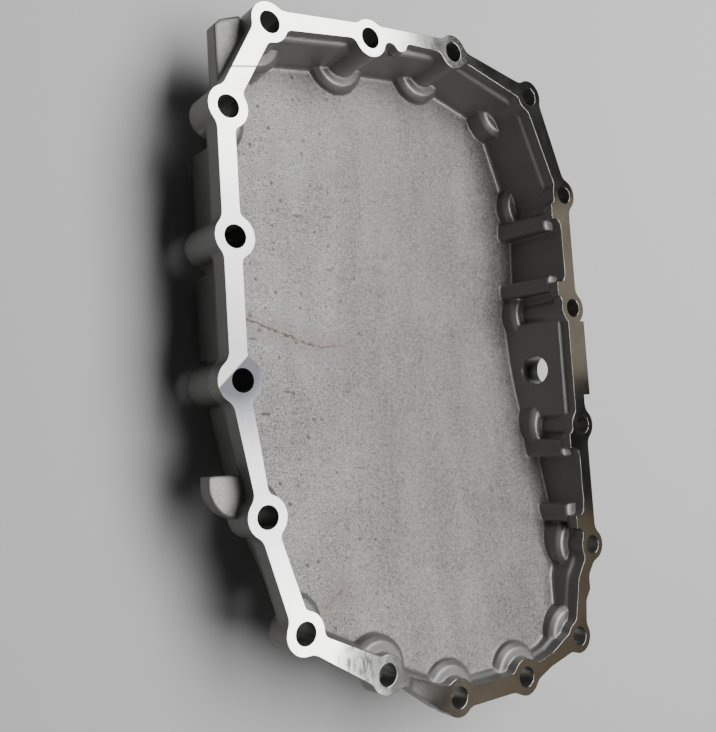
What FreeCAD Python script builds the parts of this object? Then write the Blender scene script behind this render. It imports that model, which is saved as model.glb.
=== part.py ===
import FreeCAD, Part
import math
import os

os.makedirs("parts", exist_ok=True)
V = FreeCAD.Vector

# Transmission case, one die casting. Millimetres. It is built with its joint face at z = 0,
# open side up and closed back below, then set down on the middle of its bounding box.
# Depths are measured down from the joint face.

# Joint flange
flange_thick = 9.0
lobe_blend = 6.0
inner_blend = 3.5
bolt_dia = 9.0
index_boss = (-7.2, 139.4, 3.4)
wide_lobe = (-96.0, -7.3, 8.6)

# Shell below the flange
wall_thick = 5.0
floor_thick = 4.0
ledge_depth = 5.0
ledge_width = 1.7
wall_draft = 2.2
corner_radius = 9.0
deepest = 60.0
foot_fillet = 2.0

# Floor along x = 0, as y and depth: from both ends down to a wide round valley.
# Across, it falls a little towards the port side, by cross_fall.
shallow_end = (-150.0, 5.3)
valley = (8.3, 34.5)
deep_end = (150.0, 28.3)
valley_radius = 250.0
cross_fall = 1.15
half_width = 130.0

# Round each bolt: column, hump over the head pocket inside, head pocket from the back
pocket_radius = 10.2
pocket_wall = 4.2
hump_roof = 4.0
hump_edge = 2.5

# Bolt holes: x, y, lobe radius, depth of the head seat
bolts = [
    (-74.0, 133.5, 8.2, 17.0),
    (-24.0, 138.5, 8.2, 27.5),
    (24.5, 143.0, 7.8, 27.5),
    (74.0, 131.0, 7.8, 23.5),
    (94.3, 83.7, 7.8, 30.0),
    (94.3, 26.0, 7.8, 30.5),
    (94.3, -32.2, 7.6, 23.5),
    (94.3, -91.0, 7.6, 13.0),
    (79.5, -132.5, 7.6, 9.0),
    (41.5, -143.0, 8.0, 9.0),
    (0.5, -142.5, 8.0, 9.0),
    (-36.5, -125.0, 7.9, 9.0),
    (-73.5, -102.0, 8.4, 12.8),
    (-87.0, -57.5, 8.4, 16.0),
    (-94.3, -7.0, 8.4, 30.0),
    (-94.3, 46.5, 8.4, 26.0),
    (-94.3, 96.0, 8.4, 16.0),
]

# Sealing band, outer and inner edge between the lobes, clockwise
outer_edge = [
    (-99.4, 98.3),
    (-77.5, 138.3),
    (-24.0, 144.4),
    (24.5, 148.4),
    (25.5, 146.0),
    (76.5, 134.6),
    (80.0, 131.0),
    (97.3, 85.0),
    (97.3, -95.0),
    (90.0, -105.0),
    (90.0, -111.7),
    (86.6, -116.5),
    (84.5, -134.0),
    (79.5, -137.0),
    (58.3, -142.0),
    (43.0, -148.2),
    (0.0, -147.4),
    (-9.0, -146.0),
    (-28.0, -131.5),
    (-43.0, -128.0),
    (-73.5, -108.0),
    (-78.6, -102.0),
    (-91.3, -60.0),
    (-92.4, -48.0),
    (-99.4, -12.0),
]
inner_edge = [
    (-91.8, 95.0),
    (-71.5, 131.3),
    (-24.0, 137.8),
    (-2.0, 140.6),
    (24.5, 141.5),
    (70.5, 128.0),
    (88.0, 87.5),
    (90.0, 80.0),
    (90.0, -94.0),
    (82.3, -105.5),
    (77.5, -127.0),
    (60.0, -136.0),
    (42.0, -140.0),
    (9.0, -139.6),
    (-9.0, -135.4),
    (-20.0, -131.2),
    (-28.0, -126.4),
    (-33.0, -120.6),
    (-70.0, -102.0),
    (-85.0, -56.0),
    (-91.8, -8.0),
]

# Inside of the wall at the joint face, clockwise
wall_edge = [
    (-91.8, 95.0),
    (-71.5, 130.5),
    (-24.0, 137.0),
    (24.5, 141.5),
    (70.5, 128.0),
    (90.0, 83.0),
    (90.0, -94.0),
    (82.3, -105.5),
    (77.5, -127.0),
    (60.0, -136.0),
    (42.0, -140.0),
    (9.0, -139.6),
    (-9.0, -135.4),
    (-28.0, -126.4),
    (-33.0, -121.0),
    (-70.0, -102.0),
    (-85.0, -56.0),
    (-91.8, -8.0),
]

# Stiffening ribs on the port side wall, each stopping under the joint face, and the set-back bays
rib_front = 83.6
rib_lean = 7.0
rib_edge = 1.3
ribs = [(66.0, 74.8), (34.8, 42.8), (-47.2, -38.4), (-79.4, -70.4)]
web_front = 84.2
webs = [(70.8, 78.0), (32.0, 39.0), (-43.2, -36.5), (-82.0, -76.0)]
bays = [(42.8, 66.0), (-70.4, -47.2)]
bay_draft = 1.7
bay_face = 90.3

# Side port: a leaning wall inside, a pad on the joint flange and a boss outside
port_y = -3.3
port_depth = 20.0
port_radius = 7.2
port_wall_top = 88.3
port_wall_lean = 12.0
port_wall_ends = (-27.0, 21.0)
port_boss_face = 95.1
port_boss_depth = 31.0
port_bore_start = 70.0
pad_face = 101.8
pad_ends = (-17.5, 19.5)

# Two cast lugs beside the flange
lug_thick = 7.0
upper_lug = [(-93.5, 106.0), (-93.5, 132.2), (-91.2, 134.4), (-82.7, 137.7), (-76.0, 130.0)]
lower_lug_centre = (-92.2, -44.6)
lower_lug_radius = 13.6
lower_lug_top = -41.4
lower_lug_root = -86.0

# Ribs across the closed back
back_rib_thick = 4.0
back_rib_height = 4.0
back_ribs_x = [-60.0, 0.0, 60.0]
back_ribs_y = [-95.0, -45.0, 15.0, 75.0]
back_margin = 3.0


def disc(x, y, radius):
    return Part.Face(Part.Wire(Part.makeCircle(radius, V(x, y, 0))))


def polygon(points):
    corners = [V(x, y, 0) for x, y in reversed(points)]
    return Part.Face(Part.makePolygon(corners + corners[:1]))


def post(x, y, radius, top, bottom):
    return Part.makeCylinder(radius, bottom - top, V(x, y, -bottom))


def block(x0, x1, y0, y1, top, bottom):
    return Part.makeBox(x1 - x0, y1 - y0, bottom - top, V(x0, y0, -bottom))


def inset(face, distance):
    return face.makeOffset2D(-distance, 2)


def outline(face, depth, wider=0.0):
    """Outline of a drafted wall at a depth, the face being its outline at the ledge."""
    draft = (depth - ledge_depth) * math.tan(math.radians(wall_draft))
    return inset(face, draft - wider).OuterWire.translated(V(0, 0, -depth))


def drafted(face, top, bottom):
    return Part.makeLoft([outline(face, top), outline(face, bottom)], True, True)


def leaning(front, lean, back, y0, y1, top):
    """Wall block whose inner face leans inwards as it goes down."""
    foot = front - (deepest - top) * math.tan(math.radians(lean))
    corners = [V(front, y0, -top), V(back, y0, -top), V(back, y0, -deepest), V(foot, y0, -deepest)]
    return Part.Face(Part.makePolygon(corners + corners[:1])).extrude(V(0, y1 - y0, 0))


def above_floor(lower_by):
    """Everything above the floor surface moved down by the given distance."""
    points = [deep_end, (deep_end[0], -deepest), (shallow_end[0], -deepest), shallow_end, valley]
    corners = [V(-half_width, y, -depth - lower_by) for y, depth in points]
    space = Part.Face(Part.makePolygon(corners + corners[:1])).extrude(V(2 * half_width, 0, 0))
    fold = [edge for edge in space.Edges if edge.CenterOfMass.y == valley[0]]
    return space.makeFillet(valley_radius, fold).rotated(V(0, 0, -deepest / 2), V(0, 1, 0), cross_fall)


def foot_edges(room):
    """Edges round the floor of a room that has only its walls and floor."""
    floors = [face for face in room.Faces if faces_down(face)]
    inner = [edge for face in floors for edge in face.Edges]
    return [edge for edge in inner if sum(edge.isSame(other) for other in inner) == 1]


def faces_down(face):
    u0, u1, v0, v1 = face.ParameterRange
    normal = face.normalAt((u0 + u1) / 2, (v0 + v1) / 2)
    return normal.z < -abs(normal.x) - abs(normal.y)


# Flange outlines
lobes = [disc(x, y, radius) for x, y, radius, seat in bolts] + [disc(*wide_lobe)]
outer_flat = polygon(outer_edge).fuse(lobes).removeSplitter().Faces[0]
outer_flat = outer_flat.makeOffset2D(lobe_blend).makeOffset2D(-lobe_blend)
web_flats = [polygon([(web_front, y0), (web_front, y1), (bay_face, y1), (bay_face, y0)]) for y0, y1 in webs]
inner_flat = polygon(inner_edge).cut(lobes + web_flats + [disc(*index_boss)]).Faces[0]
inner_flat = inner_flat.makeOffset2D(-inner_blend).makeOffset2D(inner_blend)

# Wall outlines at the ledge, with round corners
wall_flat = inset(polygon(wall_edge), ledge_width)
wall_flat = wall_flat.makeOffset2D(-corner_radius).makeOffset2D(2 * corner_radius)
wall_flat = wall_flat.makeOffset2D(-corner_radius)
shell_flat = wall_flat.makeOffset2D(wall_thick)
shell_side = bay_face + wall_thick

# The hollow: a straight mouth through the flange band, then drafted walls down to the floor
mouth = inner_flat.extrude(V(0, 0, -ledge_depth))
over_floor = above_floor(0.0)
room = drafted(wall_flat, -flange_thick, deepest).common(over_floor)
room = room.makeFillet(foot_fillet, foot_edges(room))
room = room.common(block(-half_width, half_width, shallow_end[0], deep_end[0], ledge_depth, deepest))
shoulder = [outline(wall_flat, ledge_depth, ledge_width), outline(wall_flat, ledge_depth + ledge_width)]
room = room.fuse(Part.makeLoft(shoulder, True, True))
for y0, y1 in bays:
    bay = block(rib_front, bay_face, y0, y1, 0.0, deepest).common(over_floor)
    room = room.fuse(bay.cut(leaning(bay_face, bay_draft, shell_side, y0, y1, 0.0)))
for y0, y1 in ribs:
    rib = leaning(rib_front, rib_lean, shell_side, y0, y1, ledge_depth)
    front = [edge for edge in rib.Edges if edge.BoundBox.XMax < rib_front + rib_edge]
    front = [edge for edge in front if edge.BoundBox.ZMin > -deepest or edge.BoundBox.ZLength > rib_edge]
    room = room.cut(rib.makeChamfer(rib_edge, front))
for x, y, radius, seat in bolts:
    hump = post(x, y, pocket_radius + pocket_wall, seat - hump_roof, deepest)
    rim = [edge for edge in hump.Edges if edge.BoundBox.ZMin > -seat]
    room = room.cut([hump.makeChamfer(hump_edge, rim), post(x, y, radius, 0.0, deepest)])
room = room.cut(leaning(port_wall_top, port_wall_lean, shell_side, *port_wall_ends, ledge_depth))

# Outside: shell, flange, bolt columns, lugs, port pad and boss, back ribs
solid = drafted(shell_flat, 0.0, deepest).common(above_floor(floor_thick))
back = drafted(shell_flat.makeOffset2D(-back_margin), 0.0, deepest)
back = back.common(above_floor(floor_thick + back_rib_height))
half_rib = back_rib_thick / 2
strips = [block(x - half_rib, x + half_rib, shallow_end[0], deep_end[0], flange_thick, deepest)
          for x in back_ribs_x]
strips += [block(-half_width, half_width, y - half_rib, y + half_rib, flange_thick, deepest)
           for y in back_ribs_y]
additions = [back.common(strip) for strip in strips]
additions += [post(x, y, radius, 0.0, seat) for x, y, radius, seat in bolts]
additions.append(outer_flat.extrude(V(0, 0, -flange_thick)))
additions.append(block(bay_face, pad_face, *pad_ends, 0.0, flange_thick))
additions.append(block(bay_face, port_boss_face, *pad_ends, 0.0, port_boss_depth))
lug_foot = flange_thick + lug_thick
lower_lug = post(*lower_lug_centre, lower_lug_radius, flange_thick, lug_foot)
lug_trim = block(-half_width, lower_lug_root, shallow_end[0], lower_lug_top, flange_thick, lug_foot)
lugs = [lower_lug.common(lug_trim),
        polygon(upper_lug).translated(V(0, 0, -flange_thick)).extrude(V(0, 0, -lug_thick))]
solid = solid.fuse(additions + lugs)

cuts = [mouth, room]
bolt_radius = bolt_dia / 2
for x, y, radius, seat in bolts:
    cuts.append(post(x, y, pocket_radius, seat, deepest))
    cuts.append(post(x, y, bolt_radius, 0.0, deepest))
bore_start = V(port_bore_start, port_y, -port_depth)
cuts.append(Part.makeCylinder(port_radius, half_width - port_bore_start, bore_start, V(1, 0, 0)))
case = solid.cut(cuts).removeSplitter().Solids[0]

# Set down on its back, over the middle of its box
box = case.optimalBoundingBox(False)
case.translate(V(-box.Center.x, -box.Center.y, -box.ZMin))
case.exportStep("parts/case.step")
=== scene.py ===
import math

import bpy
from mathutils import Matrix, Vector


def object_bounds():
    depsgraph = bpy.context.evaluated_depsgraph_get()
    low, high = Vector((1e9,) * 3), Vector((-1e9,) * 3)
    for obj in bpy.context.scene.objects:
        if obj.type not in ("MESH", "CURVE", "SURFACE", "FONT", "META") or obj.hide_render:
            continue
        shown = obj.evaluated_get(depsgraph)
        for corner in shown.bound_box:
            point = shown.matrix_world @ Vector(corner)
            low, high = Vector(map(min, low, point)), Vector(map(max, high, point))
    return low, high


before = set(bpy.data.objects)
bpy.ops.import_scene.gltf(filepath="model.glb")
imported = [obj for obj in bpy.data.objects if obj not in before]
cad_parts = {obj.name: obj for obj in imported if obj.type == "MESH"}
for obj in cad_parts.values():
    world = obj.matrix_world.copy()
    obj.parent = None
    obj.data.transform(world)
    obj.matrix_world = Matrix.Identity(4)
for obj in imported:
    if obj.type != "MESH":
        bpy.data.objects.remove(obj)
cad_low, cad_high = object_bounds()

MM = 0.001
JOINT_Z = cad_high.z

# Camera, from the bolt holes in the photograph
CAM_PLACE = (-0.24320, -0.02696, 0.31657)
CAM_RIGHT = (0.80360, -0.06334, 0.59178)
CAM_UP = (0.00751, 0.99532, 0.09634)
CAM_FORWARD = (0.59512, 0.07298, -0.80032)
CAM_LENS = 41.75
CAM_SENSOR = 36.0
CAM_NEAREST = 0.01
CAM_FARTHEST = 20.0

# Depths under the joint face of its milled skin, its crisp edges and the wall's shoulder
MILLED_DEPTHS = (0.12 * MM, 0.05 * MM)
CRISP_DEPTHS = (3.0 * MM, 1.5 * MM)
SHOULDER_DEPTHS = (7.2 * MM, 6.5 * MM)

# The lugs' tops are level with the flange's underside, and lie left of their edge
FLANGE_THICK = 9.0 * MM
LUG_EDGE_X = -74.5 * MM

# How far beside a limit a place may lie, and the bands over which one look passes into the next
SLACK = 0.1 * MM
SOFT_BAND = 1.0 * MM
FACING_BAND = 4.0 * MM

# The floor falls from both ends to its valley and a little across, and what is raised stands above it
VALLEY_Y = 8.4 * MM
VALLEY_DEPTH = 34.5 * MM
SHALLOW_SLOPE = 0.184
DEEP_SLOPE = 0.044
CROSS_SLOPE = 0.020
RAISED_HEIGHTS = (1.5 * MM, 3.0 * MM)

# The side port's bore, and the wall that it is in
PORT_START = 80.0 * MM
PORT_RADIUS = 7.2 * MM
PORT_MIDDLE = (0.0, -3.2 * MM, JOINT_Z - 20.0 * MM)
PORT_WALL_X = 93.0 * MM
PORT_WALL_REACH = 96.0 * MM

# How far a face looks up, from 0 for a wall to 1 for a level face, where it is flat, milled or rounded
FLAT_UP = (0.55, 0.95)
MILLED_UP = (0.90, 0.97)
ROUNDED_UP_FROM = (0.15, 0.45)
ROUNDED_UP_TO = (0.97, 0.85)

# Radii that the shading gives the edges, and the turn's cosine where an edge begins and where it is full
CAST_ROUND = 2.2 * MM
MILLED_ROUND = 0.20 * MM
ROUND_SAMPLES = 8
EDGE_TURN = (0.93, 0.78)

# The cast skin's tones, what is added to them or left of them, and the strength of its grain where things
# are raised and on the worn left side
FLOOR_TONE = (0.20, 0.26)
WALL_TONE = (0.16, 0.20)
# Painted light on the faces that look to the middle, which leaves the outside in painted shade
INNER_PAINTED_LIGHT = 0.17
# Painted highlight on slanted faces and eased edges
ROUND_PAINTED_HIGHLIGHT = 0.18
LUG_LIFT = 0.12
# Share of the tone left inside the port's bore, as painted shade
BORE_SHADE_SHARE = 0.5
# How much of the painted highlight and smoothness slanted faces keep, from below the shoulder to above it
SHOULDER_SHARES = (0.6, 0.2)
GRAIN_SWING = 0.12
SPECK_SWING = 0.06
FLOW_SWING = 0.02
RAISED_GRAIN = 0.3
WORN_GRAIN = 1.5
WORN_X = -85.0 * MM
CAST_GREEN = 0.99
CAST_BLUE = 0.96

# Its roughness and relief, and how much smoother the rounded places are
WALL_ROUGHNESS = 0.46
LEVEL_ROUGHNESS = (0.48, 0.60)
ROUNDED_SMOOTHER = 0.14
GRAIN_HEIGHT = 0.8
SPECK_HEIGHT = 0.9
WALL_RELIEF = 0.18
LUG_RELIEF = 2.0
PIT_DEPTH = 1.5
SCRATCH_DEPTH = 0.5

# Parts of a noise's range over which its patches come in
FLOW_RANGE = (0.35, 0.65)
PITTED_RANGE = (0.42, 0.62)
BROKEN_RANGE = (0.38, 0.58)
STAINED_RANGE = (0.35, 0.60)
MILLED_RANGE = (0.35, 0.70)
SCUFFED_RANGE = (0.50, 0.60)
NOISE_MEAN = (0.5, 0.5, 0.5)

# Factors on the axes: a small one draws a pattern out along its axis, and none flattens it
FLOW_STRETCH = (1.0, 0.22, 1.0)
DASH_STRETCH = (0.35, 1.4, 1.0)
CUTTER_STRETCH = (1.0, 0.05, 1.0)
SCUFF_STRETCH = (1.0, 0.35, 1.0)
ON_PLAN = (1.0, 1.0, 0.0)
ACROSS_BORE = (0.0, 1.0, 1.0)

# Pits and dashes on the floor: cells to the metre, radius as a share of a cell, and the chance that a cell
# has to pass where few and where many lie
PIT_SCALE = 230.0
PIT_RADIUS = 0.24
PIT_CHANCES = (0.88, 0.48)
DASH_SCALE = 130.0
DASH_RADIUS = 0.14
DASH_CHANCES = (0.82, 0.35)
PITTED_X = (-80.0 * MM, 20.0 * MM)
PITS_AT_RIGHT = 0.1
PIT_COLOUR = (0.063, 0.060, 0.057, 1.0)
PIT_COVER = 0.9

# Scratches on the floor, as points across and along the casting in metres
LONG_SCRATCH = [(-0.0730, 0.0212), (-0.0645, 0.0183), (-0.0514, 0.0140), (-0.0465, 0.0118),
                (-0.0346, 0.0092)]
LONG_SCRATCH_TAIL = [(-0.0346, 0.0092), (-0.0242, 0.0101)]
SHORT_SCRATCH = [(-0.0530, -0.0973), (-0.0427, -0.0912), (-0.0393, -0.0951)]
SCRATCH_WIDTH = 0.8 * MM
SCRATCH_COLOUR = (0.045, 0.034, 0.030, 1.0)
FAINT_SHARE = 0.5
BROKEN_SHARE = 0.25
WANDER = (2.4 * MM, 2.4 * MM, 0.0)
STAIN_WIDTH = 9.0 * MM
STAIN_COLOUR = (0.22, 0.165, 0.145, 1.0)
STAIN_COVER = 0.75

# The milled face, with the lines where two cutter passes meet, the share of light left in each, and the
# painted shade past the lower one
MILLED_TONE = (0.76, 0.86)
MILLED_ROUGHNESS = (0.09, 0.14)
CUTTER_SWING = 0.03
CUTTER_HEIGHT = 0.05
PASS_UPPER = [(-0.1100, 0.1080), (-0.0700, 0.1160)]
PASS_LOWER = [(-0.1020, -0.0094), (-0.0887, 0.0030)]
PASS_SHARES = ((PASS_UPPER, 0.15), (PASS_LOWER, 0.35))
PASS_LINE = (0.15 * MM, 0.5 * MM)
PAST_STEP = 0.3 * MM
PAST_REACH = (9.0 * MM, 30.0 * MM)
PAST_SHADE_SHARE = 0.20

# Its painted shade and painted bluish reflection around the lower line and the scuffs. The base to the
# power of the dimmest value is the share of light left where they are darkest, and the blue grows with the
# painted shade
DIM_BASE = 0.10
DIMMEST = 0.5
PAINTED_DIM_REACH = (10.0 * MM, 95.0 * MM)
PAINTED_DIM_AT_SCUFFS = (5.0 * MM, 15.0 * MM)
REFLECTED_BLUE_SHARES = (0.97, 1.12)

# Its scuffs, most of them on one stretch near the lower end
SCUFF_MIDDLE = (-0.0460, -0.1170, 0.0)
SCUFF_REACH = (7.0 * MM, 15.0 * MM)
SCUFFS_ELSEWHERE = 0.12
SCUFF_SHARE = 0.45
SCUFF_ROUGHER = 0.15
SCUFF_DEPTH = 0.05

# Metal and relief of the casting
CAST_METALLIC = 0.85
BUMP_STRENGTH = 0.6
BUMP_DEPTH = 0.14 * MM

# The studio: its floor, a hair under the casting, and the world's faint light, which fades with height
STUDIO_HALF = 3.0
STUDIO_GAP = 0.1 * MM
STUDIO_COLOUR = (0.66, 0.66, 0.66, 1.0)
STUDIO_ROUGHNESS = 0.75
WORLD_COLOUR = (0.60, 0.61, 0.62, 1.0)
HORIZON_HEIGHTS = (0.20, 0.50)
WORLD_STRENGTHS = (0.18, 0.02)


class Nodes:
    """A node tree with short calls to build it."""

    # The Mix node's sockets for each kind: the two that it mixes, and the result
    MIX_SOCKETS = {"FLOAT": (2, 3, 0), "RGBA": (6, 7, 2)}
    # The middle of a noise's range, where most of it lies
    NOISE_MIDDLE = (0.3, 0.7)

    def __init__(self, tree):
        self.tree = tree

    def add(self, kind, inputs=None, **settings):
        node = self.tree.nodes.new(kind)
        for key, value in settings.items():
            setattr(node, key, value)
        for key, value in (inputs or {}).items():
            self.put(value, node.inputs[key])
        return node

    def put(self, value, socket):
        if isinstance(value, bpy.types.NodeSocket):
            self.tree.links.new(value, socket)
        else:
            socket.default_value = value

    def math(self, operation, *values, clamp=False):
        node = self.add("ShaderNodeMath", dict(enumerate(values)), operation=operation, use_clamp=clamp)
        return node.outputs[0]

    def fold(self, operation, first, *others):
        for other in others:
            first = self.math(operation, first, other)
        return first

    def plus(self, *values):
        return self.fold("ADD", *values)

    def minus(self, first, second):
        return self.math("SUBTRACT", first, second)

    def times(self, *values):
        return self.fold("MULTIPLY", *values)

    def least(self, *values):
        return self.fold("MINIMUM", *values)

    def most(self, *values):
        return self.fold("MAXIMUM", *values)

    def vector(self, operation, *values):
        node = self.add("ShaderNodeVectorMath", dict(enumerate(values)), operation=operation)
        return node.outputs["Value" if operation in ("DISTANCE", "DOT_PRODUCT") else "Vector"]

    def parts(self, vector):
        """The x, y and z of a vector."""
        return self.add("ShaderNodeSeparateXYZ", {"Vector": vector}).outputs

    def colour(self, red, green, blue):
        return self.add("ShaderNodeCombineColor", {"Red": red, "Green": green, "Blue": blue}).outputs[0]

    def noise(self, place, scale, detail=2.0, roughness=0.5, distortion=0.0, out="Fac"):
        node = self.add("ShaderNodeTexNoise", {"Vector": place, "Scale": scale, "Detail": detail,
                                               "Roughness": roughness, "Distortion": distortion})
        return node.outputs[out]

    def remap(self, value, low, high, to_low=0.0, to_high=1.0, smooth=False):
        node = self.add("ShaderNodeMapRange", {"Value": value, "From Min": low, "From Max": high,
                                               "To Min": to_low, "To Max": to_high},
                        interpolation_type="SMOOTHSTEP" if smooth else "LINEAR")
        return node.outputs["Result"]

    def fade(self, value, low, high, start=1.0):
        """From start at low down to nothing at high."""
        return self.remap(value, low, high, start, 0.0)

    def spread(self, noise, low, high):
        """From low to high over the middle of a noise's range."""
        return self.remap(noise, *self.NOISE_MIDDLE, low, high)

    def mix(self, factor, first, second, kind="RGBA"):
        first_socket, second_socket, result = self.MIX_SOCKETS[kind]
        inputs = {0: factor, first_socket: first, second_socket: second}
        return self.add("ShaderNodeMix", inputs, data_type=kind).outputs[result]

    def blend(self, factor, first, second):
        return self.mix(factor, first, second, "FLOAT")

    def gap_to(self, place, start, end):
        """Distance from a straight line that runs from start to end."""
        run = Vector(end) - Vector(start)
        from_start = self.vector("SUBTRACT", place, start)
        share = self.vector("DOT_PRODUCT", from_start, tuple(run / run.length_squared))
        share = self.math("MULTIPLY", share, 1.0, clamp=True)
        nearest = self.add("ShaderNodeVectorMath", {0: tuple(run), "Scale": share}, operation="SCALE")
        return self.vector("DISTANCE", from_start, nearest.outputs[0])

    def gap_to_chain(self, place, points):
        """Distance from the nearest of the straight lines that join the points."""
        return self.least(*[self.gap_to(place, (*start, 0.0), (*end, 0.0))
                            for start, end in zip(points, points[1:])])


class CastingNodes(Nodes):
    """The casting's nodes, with what its looks depend on at each point."""

    def __init__(self, tree):
        super().__init__(tree)
        self.place = self.add("ShaderNodeTexCoord").outputs["Object"]
        self.normal = self.add("ShaderNodeNewGeometry").outputs["True Normal"]
        self.on_plan = self.vector("MULTIPLY", self.place, ON_PLAN)
        self.x, self.y, self.z = self.parts(self.place)
        self.up = self.parts(self.normal)[2]
        self.flat = self.remap(self.up, *FLAT_UP)
        self.crisp = self.by_depth(CRISP_DEPTHS)
        self.inner = self.inner_faces()
        self.raised = self.above_floor()
        self.rugged = self.blend(self.raised, 1.0, RAISED_GRAIN)

    def by_depth(self, depths, to_low=0.0, to_high=1.0):
        """From to_low at the first depth under the joint face to to_high at the second, less deep."""
        deep, shallow = depths
        return self.remap(self.z, JOINT_Z - deep, JOINT_Z - shallow, to_low, to_high)

    def inner_faces(self):
        """The faces that look to the middle, and all there is between the port's wall and the middle. They
        get painted light, which leaves the outside in painted shade.
        """
        middle_faced = self.vector("DOT_PRODUCT", self.on_plan, self.normal)
        by_port_wall = self.times(self.math("GREATER_THAN", self.x, 0.0),
                                  self.math("COMPARE", self.y, 0.0, PORT_WALL_REACH),
                                  self.fade(self.x, PORT_WALL_X, PORT_WALL_X + SOFT_BAND))
        return self.most(self.remap(middle_faced, FACING_BAND, -FACING_BAND), by_port_wall)

    def above_floor(self):
        """What stands above the room's floor."""
        before = self.times(self.minus(VALLEY_Y, self.y), SHALLOW_SLOPE)
        behind = self.times(self.minus(self.y, VALLEY_Y), DEEP_SLOPE)
        rise = self.minus(self.most(before, behind), self.times(self.x, CROSS_SLOPE))
        floor_z = self.plus(rise, JOINT_Z - VALLEY_DEPTH)
        return self.remap(self.minus(self.z, floor_z), *RAISED_HEIGHTS)

    def lug_tops(self):
        at_lugs = self.fade(self.x, LUG_EDGE_X - SOFT_BAND, LUG_EDGE_X)
        at_depth = self.math("COMPARE", self.z, JOINT_Z - FLANGE_THICK, SLACK)
        return self.times(at_lugs, at_depth, self.flat)

    def in_bore(self):
        from_middle = self.vector("DISTANCE", self.vector("MULTIPLY", self.place, ACROSS_BORE), PORT_MIDDLE)
        return self.times(self.math("LESS_THAN", from_middle, PORT_RADIUS + SLACK),
                          self.math("GREATER_THAN", self.x, PORT_START))

    def highlit_round_faces(self, edge):
        """Slanted faces, less so above the shoulder, and all eased edges, which get a painted highlight and
        a smoother finish.
        """
        slanted = self.times(self.remap(self.up, *ROUNDED_UP_FROM), self.remap(self.up, *ROUNDED_UP_TO),
                             self.by_depth(SHOULDER_DEPTHS, *SHOULDER_SHARES))
        return self.most(slanted, edge)


def marks(n, place, scale, radius, threshold):
    """Dark spots scattered over the surface, in the cells whose chance is over the threshold."""
    cells = n.add("ShaderNodeTexVoronoi", {"Vector": place, "Scale": scale, "Randomness": 1.0})
    spot = n.fade(cells.outputs["Distance"], radius / 2, radius)
    chance = n.add("ShaderNodeSeparateColor", {"Color": cells.outputs["Color"]}).outputs[0]
    return n.times(spot, n.math("GREATER_THAN", chance, threshold))


def cast_tone(n, grain, speck, highlit_rounds, lug):
    """Grainy where level, smooth and darker on the walls, with painted light on the inner faces that leaves
    the outside in painted shade, a painted highlight on rounded faces, painted shade in the port's bore,
    and pale on the lugs.
    """
    cloud = n.noise(n.place, scale=26.0, detail=5.0, roughness=0.62, distortion=0.4)
    flow = n.noise(n.vector("MULTIPLY", n.place, FLOW_STRETCH), scale=60.0, detail=4.0, roughness=0.55,
                   distortion=0.8)
    grainy = n.times(n.spread(grain, -GRAIN_SWING, GRAIN_SWING), n.remap(n.x, WORN_X, 0.0, WORN_GRAIN, 1.0))
    speckled = n.spread(speck, -SPECK_SWING, SPECK_SWING)
    level_tone = n.plus(n.spread(cloud, *FLOOR_TONE), n.times(grainy, n.rugged),
                        n.times(speckled, n.rugged), n.remap(flow, *FLOW_RANGE, -FLOW_SWING, FLOW_SWING))
    # Painted light on the inner faces, which leaves the outside in painted shade
    wall_tone = n.plus(n.spread(cloud, *WALL_TONE), n.times(n.inner, INNER_PAINTED_LIGHT))
    # Painted highlight on slanted faces and eased edges
    tone = n.plus(n.blend(n.flat, wall_tone, level_tone), n.times(highlit_rounds, ROUND_PAINTED_HIGHLIGHT))
    # Painted shade inside the port's bore
    tone = n.times(tone, n.blend(n.in_bore(), 1.0, BORE_SHADE_SHARE))
    return n.plus(tone, n.times(lug, LUG_LIFT))


def floor_pits(n, inside):
    """Small dark pits and short dashes, more of them on the left half of the floor."""
    left = n.remap(n.x, *PITTED_X, 1.0, PITS_AT_RIGHT)
    patchy = n.remap(n.noise(n.place, scale=45.0), *PITTED_RANGE)
    pits = marks(n, n.place, PIT_SCALE, PIT_RADIUS, n.remap(patchy, 0.0, 1.0, *PIT_CHANCES))
    dashes = marks(n, n.vector("MULTIPLY", n.place, DASH_STRETCH), DASH_SCALE, DASH_RADIUS,
                   n.remap(patchy, 0.0, 1.0, *DASH_CHANCES))
    return n.times(left, inside, n.most(pits, dashes))


def floor_scratches(n, speck, inside):
    """The scratches on the floor, thin and broken, and the faint rusty stain along them."""
    wander = n.vector("SUBTRACT", n.noise(n.place, scale=420.0, out="Color"), NOISE_MEAN)
    on_floor = n.vector("ADD", n.place, n.vector("MULTIPLY", wander, WANDER))
    on_floor = n.vector("MULTIPLY", on_floor, ON_PLAN)
    long_gap = n.gap_to_chain(on_floor, LONG_SCRATCH)
    tail_gap = n.gap_to_chain(on_floor, LONG_SCRATCH_TAIL)
    faint_gap = n.least(tail_gap, n.gap_to_chain(on_floor, SHORT_SCRATCH))
    faint = n.times(n.fade(faint_gap, 0.0, SCRATCH_WIDTH), FAINT_SHARE)
    broken = n.remap(n.noise(n.place, scale=380.0), *BROKEN_RANGE, BROKEN_SHARE, 1.0)
    scratch = n.times(n.most(n.fade(long_gap, 0.0, SCRATCH_WIDTH), faint), broken, inside)
    stain = n.fade(n.least(long_gap, faint_gap), 0.0, STAIN_WIDTH)
    stain = n.times(stain, n.remap(speck, *STAINED_RANGE), inside)
    return scratch, stain


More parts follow.
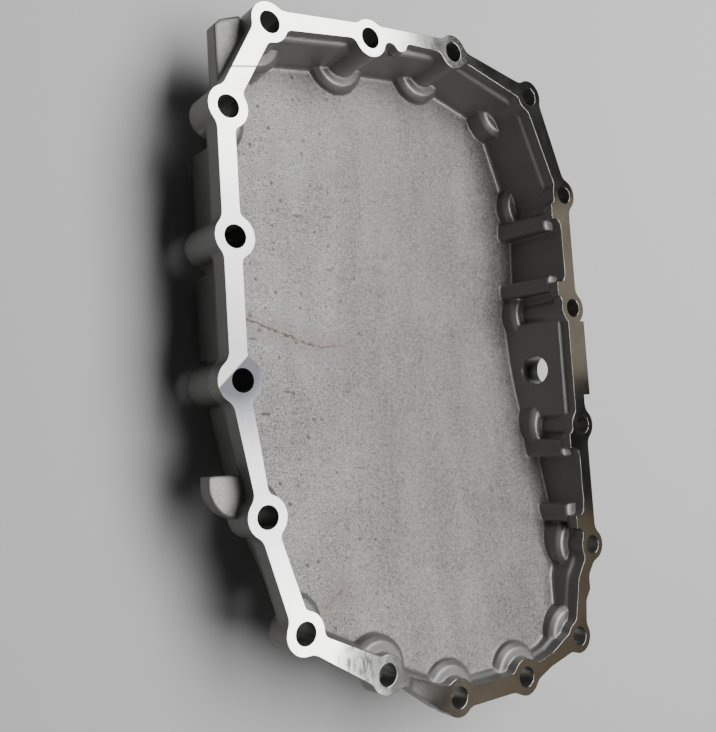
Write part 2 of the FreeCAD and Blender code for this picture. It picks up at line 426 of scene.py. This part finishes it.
def cast_skin(n, edge):
    """Colour, roughness and relief of the surface as it left the mould."""
    grain = n.noise(n.place, scale=1500.0, detail=3.0, roughness=0.75)
    speck = n.noise(n.place, scale=620.0, roughness=0.6)
    highlit_rounds = n.highlit_round_faces(edge)
    lug = n.lug_tops()
    inside = n.times(n.flat, n.minus(1.0, n.raised))
    pits = floor_pits(n, inside)
    scratch, stain = floor_scratches(n, speck, inside)

    tone = cast_tone(n, grain, speck, highlit_rounds, lug)
    colour = n.colour(tone, n.times(tone, CAST_GREEN), n.times(tone, CAST_BLUE))
    colour = n.mix(n.times(pits, PIT_COVER), colour, PIT_COLOUR)
    colour = n.mix(n.times(stain, STAIN_COVER), colour, STAIN_COLOUR)
    colour = n.mix(scratch, colour, SCRATCH_COLOUR)

    rough = n.blend(n.flat, WALL_ROUGHNESS, n.spread(speck, *LEVEL_ROUGHNESS))
    rough = n.minus(rough, n.times(highlit_rounds, ROUNDED_SMOOTHER))

    coarse = n.plus(n.times(grain, GRAIN_HEIGHT), n.times(speck, SPECK_HEIGHT))
    relief = n.times(coarse, n.blend(n.flat, WALL_RELIEF, n.blend(lug, n.rugged, LUG_RELIEF)))
    relief = n.minus(relief, n.times(pits, PIT_DEPTH))
    relief = n.minus(relief, n.times(scratch, SCRATCH_DEPTH))
    return colour, rough, relief


def milled_face(n):
    """Bright, with fine cutter lines, dark lines where two passes meet, a few scuffs, and painted shade
    with a painted bluish reflection around the lower line and the scuffs.
    """
    streak = n.noise(n.vector("MULTIPLY", n.place, CUTTER_STRETCH), scale=2600.0, roughness=0.6)
    patch = n.noise(n.place, scale=75.0, detail=3.0, roughness=0.6)
    tone = n.plus(n.remap(patch, *MILLED_RANGE, *MILLED_TONE),
                  n.spread(streak, -CUTTER_SWING, CUTTER_SWING))

    # Painted shade and painted bluish reflection around the lower line where two passes meet, and around
    # the scuffs
    start, end = (Vector((*point, 0.0)) for point in PASS_LOWER)
    from_pass = n.vector("DISTANCE", n.on_plan, tuple((start + end) / 2))
    from_scuffs = n.vector("DISTANCE", n.on_plan, SCUFF_MIDDLE)
    painted_dim = n.fade(from_pass, *PAINTED_DIM_REACH, start=DIMMEST)
    painted_dim_at_scuffs = n.fade(from_scuffs, *PAINTED_DIM_AT_SCUFFS, start=DIMMEST)
    tone = n.times(tone, n.math("POWER", DIM_BASE, n.plus(painted_dim, painted_dim_at_scuffs)))

    # Painted shade just past the lower line, and thin dark lines where the passes meet
    across = (end - start).normalized().cross(Vector((0.0, 0.0, 1.0)))
    past_shade = n.vector("DOT_PRODUCT", n.vector("SUBTRACT", n.on_plan, tuple(start)), tuple(across))
    past_shade = n.times(n.remap(past_shade, 0.0, PAST_STEP), n.fade(from_pass, *PAST_REACH))
    tone = n.times(tone, n.blend(past_shade, 1.0, PAST_SHADE_SHARE))
    for points, share in PASS_SHARES:
        line = n.fade(n.gap_to_chain(n.on_plan, points), *PASS_LINE)
        tone = n.times(tone, n.blend(line, 1.0, share))

    # Scuffs, mostly on one stretch
    scuffs = n.noise(n.vector("MULTIPLY", n.place, SCUFF_STRETCH), scale=420.0, detail=3.0)
    elsewhere = n.noise(n.place, scale=32.0, detail=1.0)
    elsewhere = n.remap(elsewhere, *SCUFFED_RANGE, 0.0, SCUFFS_ELSEWHERE)
    scuffed = n.times(n.remap(scuffs, *SCUFFED_RANGE), n.most(n.fade(from_scuffs, *SCUFF_REACH), elsewhere))
    tone = n.times(tone, n.blend(scuffed, 1.0, SCUFF_SHARE))

    # Painted bluish reflection where the painted shade lies
    blue = n.times(tone, n.blend(n.most(painted_dim, past_shade), *REFLECTED_BLUE_SHARES))
    rough = n.plus(n.spread(patch, *MILLED_ROUGHNESS), n.times(scuffed, SCUFF_ROUGHER))
    relief = n.plus(n.times(streak, CUTTER_HEIGHT), n.times(scuffed, -SCUFF_DEPTH))
    return n.colour(tone, tone, blue), rough, relief


def cast_aluminium():
    material = bpy.data.materials.new("cast_aluminium_looks")
    material.use_nodes = True
    material.node_tree.nodes.clear()
    n = CastingNodes(material.node_tree)

    # Round edges on the casting, crisp ones at the milled face
    radius = n.blend(n.crisp, CAST_ROUND, MILLED_ROUND)
    eased = n.add("ShaderNodeBevel", {"Radius": radius}, samples=ROUND_SAMPLES).outputs[0]
    turned = n.vector("DOT_PRODUCT", eased, n.normal)
    edge = n.times(n.remap(turned, *EDGE_TURN), n.minus(1.0, n.crisp))

    # The joint face was milled, all else is as cast
    milled = n.times(n.by_depth(MILLED_DEPTHS), n.remap(n.up, *MILLED_UP))
    cast_colour, cast_rough, cast_relief = cast_skin(n, edge)
    mill_colour, mill_rough, mill_relief = milled_face(n)
    bump = n.add("ShaderNodeBump", {"Strength": BUMP_STRENGTH, "Distance": BUMP_DEPTH, "Normal": eased,
                                    "Height": n.blend(milled, cast_relief, mill_relief)})
    shader = n.add("ShaderNodeBsdfPrincipled", {"Base Color": n.mix(milled, cast_colour, mill_colour),
                                                "Metallic": n.blend(milled, CAST_METALLIC, 1.0),
                                                "Roughness": n.blend(milled, cast_rough, mill_rough),
                                                "Normal": bump.outputs[0]})
    n.add("ShaderNodeOutputMaterial", {"Surface": shader.outputs[0]})
    return material


def floor_material():
    material = bpy.data.materials.new("studio_floor")
    material.use_nodes = True
    shader = material.node_tree.nodes["Principled BSDF"]
    shader.inputs["Base Color"].default_value = STUDIO_COLOUR
    shader.inputs["Roughness"].default_value = STUDIO_ROUGHNESS
    return material


def studio_floor():
    mesh = bpy.data.meshes.new("studio_floor")
    corners = [(x * STUDIO_HALF, y * STUDIO_HALF, 0.0) for x, y in ((-1, -1), (1, -1), (1, 1), (-1, 1))]
    mesh.from_pydata(corners, [], [(0, 1, 2, 3)])
    mesh.materials.append(floor_material())
    sheet = bpy.data.objects.new("studio_floor", mesh)
    sheet.location.z = cad_low.z - STUDIO_GAP
    bpy.context.scene.collection.objects.link(sheet)
    return sheet


def area_light(name, place, target, size, energy, colour=(1.0, 1.0, 1.0), turn=0.0):
    """A rectangle lamp facing its target, turned about its own axis by degrees."""
    light = bpy.data.lights.new(name, "AREA")
    light.shape = "RECTANGLE"
    light.size, light.size_y = size
    light.energy = energy
    light.color = colour
    lamp = bpy.data.objects.new(name, light)
    aim = (Vector(target) - Vector(place)).to_track_quat("-Z", "Y").to_matrix()
    aim = aim @ Matrix.Rotation(math.radians(turn), 3, "Z")
    lamp.matrix_world = Matrix.Translation(place) @ aim.to_4x4()
    bpy.context.scene.collection.objects.link(lamp)


def studio_world():
    """Faint light all round, and a little stronger near the horizon."""
    world = bpy.data.worlds.new("studio_world")
    world.use_nodes = True
    background = world.node_tree.nodes["Background"]
    background.inputs["Color"].default_value = WORLD_COLOUR
    n = Nodes(world.node_tree)
    height = n.parts(n.add("ShaderNodeTexCoord").outputs["Generated"])[2]
    n.put(n.remap(height, *HORIZON_HEIGHTS, *WORLD_STRENGTHS, smooth=True), background.inputs["Strength"])
    bpy.context.scene.world = world


def photo_camera():
    data = bpy.data.cameras.new("photo_camera")
    data.lens = CAM_LENS
    data.sensor_width = CAM_SENSOR
    data.sensor_fit = "AUTO"
    data.clip_start = CAM_NEAREST
    data.clip_end = CAM_FARTHEST
    camera = bpy.data.objects.new("photo_camera", data)
    axes = Matrix([CAM_RIGHT, CAM_UP, [-value for value in CAM_FORWARD]]).transposed()
    camera.matrix_world = Matrix.Translation(CAM_PLACE) @ axes.to_4x4()
    bpy.context.scene.collection.objects.link(camera)
    bpy.context.scene.camera = camera


looks = cast_aluminium()
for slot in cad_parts["case"].material_slots:
    slot.material = looks

floor = studio_floor()

# A wide panel overhead, whose far edge shows in the joint face, and two dim warm ones past it
area_light("window", place=(0.40, 0.24, 1.04), target=(0.40, 0.24, 0.0), size=(0.78, 1.42),
           energy=21.0, turn=-9.2)
area_light("warm_wall", place=(1.03, 0.21, 0.80), target=(0.09, 0.04, 0.04), size=(0.34, 0.22),
           energy=0.046, colour=(1.0, 0.85, 0.66))
area_light("brown_wall", place=(0.82, -0.46, 0.80), target=(0.05, -0.14, 0.04), size=(0.60, 0.22),
           energy=0.044, colour=(1.0, 0.77, 0.50))

studio_world()
photo_camera()
